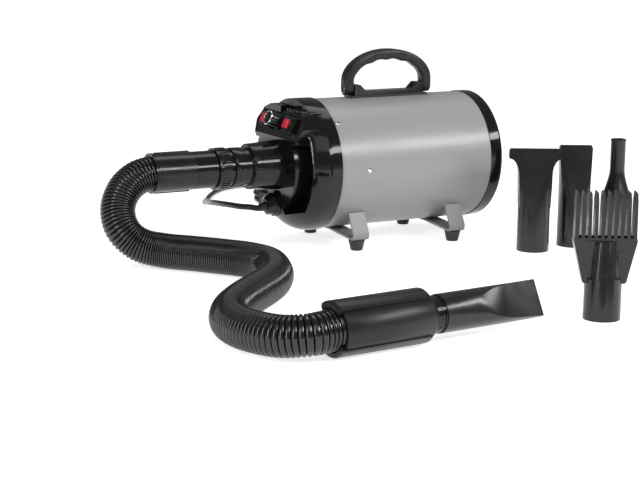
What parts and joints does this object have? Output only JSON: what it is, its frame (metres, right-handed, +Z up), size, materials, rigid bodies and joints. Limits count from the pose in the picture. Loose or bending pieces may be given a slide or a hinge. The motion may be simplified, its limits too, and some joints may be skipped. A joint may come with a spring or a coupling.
{
  "type": "pet dryer",
  "caption": "Portable pet dryer: steel barrel on strap legs, moulded front cap with knob and rocker switches, carrying handle, ribbed hose with grip, nozzles and mains cord.",
  "frame": {"origin": "on the floor, under the middle of the box round the machine, the grip and the loose nozzles, the hose and the cord left out", "axes": "+X along the barrel from the air outlet towards the rear, +Y across it towards the side where the cord lies, +Z up"},
  "size_m": [0.7838, 1.0127, 0.2658],
  "materials": {
    "silver_paint": "satin silver-grey paint with a fine grain",
    "black_plastic": "satin black moulded plastic",
    "dark_plastic": "plain dark plastic",
    "bright_rim": "bright plated ring",
    "steel": "bright zinc-plated steel",
    "red_plastic": "glossy red plastic",
    "green_board": "green board",
    "soft_rubber": "soft black rubber",
    "hose_plastic": "satin black flexible plastic",
    "grip_rubber": "dark grey-black grip rubber",
    "nozzle_plastic": "fine-grained dark plastic",
    "handle_plastic": "grained dark plastic",
    "filter_foam": "open-cell foam",
    "leg_steel": "grey-silver paint",
    "foot_rubber": "black rubber",
    "liner_foam": "felt-faced foam",
    "fan_metal": "pressed sheet",
    "windings": "varnished copper windings",
    "motor_iron": "laminated iron",
    "heater_mica": "mica sheet",
    "heater_wire": "resistance wire",
    "cord_jacket": "satin black jacket",
    "cord_tie": "soft strap",
    "pin_brass": "plated brass"
  },
  "bodies": {
    "machine": {"barrel": "silver_paint", "front_cap": "black_plastic", "control_panel": "black_plastic", "vent_louvres": "black_plastic", "switch_bezels": "black_plastic", "speed_control": "dark_plastic", "switch_bodies": "dark_plastic", "control_board": "green_board", "outlet_spout": "black_plastic", "outlet_collar": "black_plastic", "hose_cuff": "black_plastic", "hose_sleeve": "soft_rubber", "hose": "hose_plastic", "grip_sleeve": "grip_rubber", "wide_nozzle": "nozzle_plastic", "slim_nozzle": "nozzle_plastic", "cone_nozzle": "nozzle_plastic", "comb_nozzle": "nozzle_plastic", "rear_ring": "black_plastic", "handle_base": "black_plastic", "handle_pins": "steel", "leg_front": "leg_steel", "leg_rear": "leg_steel", "leg_bolts": "steel", "rubber_feet": "foot_rubber", "foot_screws": "steel", "body_screws": "steel", "sound_liner": "liner_foam", "blower_housing": "fan_metal", "diffuser": "fan_metal", "motor_frame": "motor_iron", "motor_bearings": "steel", "motor_brushes": "dark_plastic", "mount_rings": "foot_rubber", "heater_frame": "heater_mica", "heater_coils": "heater_wire", "cord_gland": "black_plastic", "power_cord": "cord_jacket", "cord_coil": "cord_jacket", "cord_tie": "cord_tie", "mains_plug": "cord_jacket", "plug_pins": "pin_brass"},
    "handle": {"handle_bail": "handle_plastic"},
    "knob": {"speed_knob": "black_plastic", "knob_rim": "bright_rim", "knob_shaft": "steel"},
    "rocker_power": {"power_rocker": "red_plastic"},
    "rocker_heat": {"heat_rocker": "red_plastic"},
    "ring": {"lock_ring": "black_plastic"},
    "tool_ring": {"end_ring": "black_plastic"},
    "tool_nozzle": {"flat_nozzle": "nozzle_plastic"},
    "rear_cover": {"intake_grille": "black_plastic", "intake_filter": "filter_foam"},
    "rotor": {"motor_shaft": "steel", "motor_armature": "windings", "impellers": "fan_metal"}
  },
  "joints": [
    {"name": "handle_fold", "type": "hinge", "parent": "machine", "child": "handle", "pos_m": [0.031, 0.24, 0.213], "axis": [1, 0, 0], "range_deg": [-80, 80]},
    {"name": "speed_turn", "type": "hinge", "parent": "machine", "child": "knob", "pos_m": [-0.1342, 0.24, 0.17154], "axis": [-0.9205, 0, 0.3907], "range_deg": [-270, 0]},
    {"name": "power_press", "type": "hinge", "parent": "machine", "child": "rocker_power", "pos_m": [-0.13991, 0.2735, 0.17342], "axis": [0.3907, 0, 0.9205], "range_deg": [0, 16]},
    {"name": "heat_press", "type": "hinge", "parent": "machine", "child": "rocker_heat", "pos_m": [-0.13991, 0.2065, 0.17342], "axis": [0.3907, 0, 0.9205], "range_deg": [0, 16]},
    {"name": "ring_lock", "type": "hinge", "parent": "machine", "child": "ring", "pos_m": [-0.2262, 0.24, 0.114], "axis": [1, 0, 0], "range_deg": [0, 45]},
    {"name": "nozzle_swivel", "type": "hinge", "parent": "machine", "child": "tool_ring", "pos_m": [-0.21371, -0.28823, 0.03], "axis": [0.9947, 0.1028, 0], "continuous": true},
    {"name": "nozzle_pull", "type": "slide", "parent": "tool_ring", "child": "tool_nozzle", "axis": [0.9947, 0.1028, 0], "range_m": [0, 0.024]},
    {"name": "rear_cover_pull", "type": "slide", "parent": "machine", "child": "rear_cover", "axis": [1, 0, 0], "range_m": [0, 0.03]},
    {"name": "rotor_spin", "type": "hinge", "parent": "machine", "child": "rotor", "pos_m": [0.033, 0.24, 0.112], "axis": [1, 0, 0], "continuous": true}
  ]
}
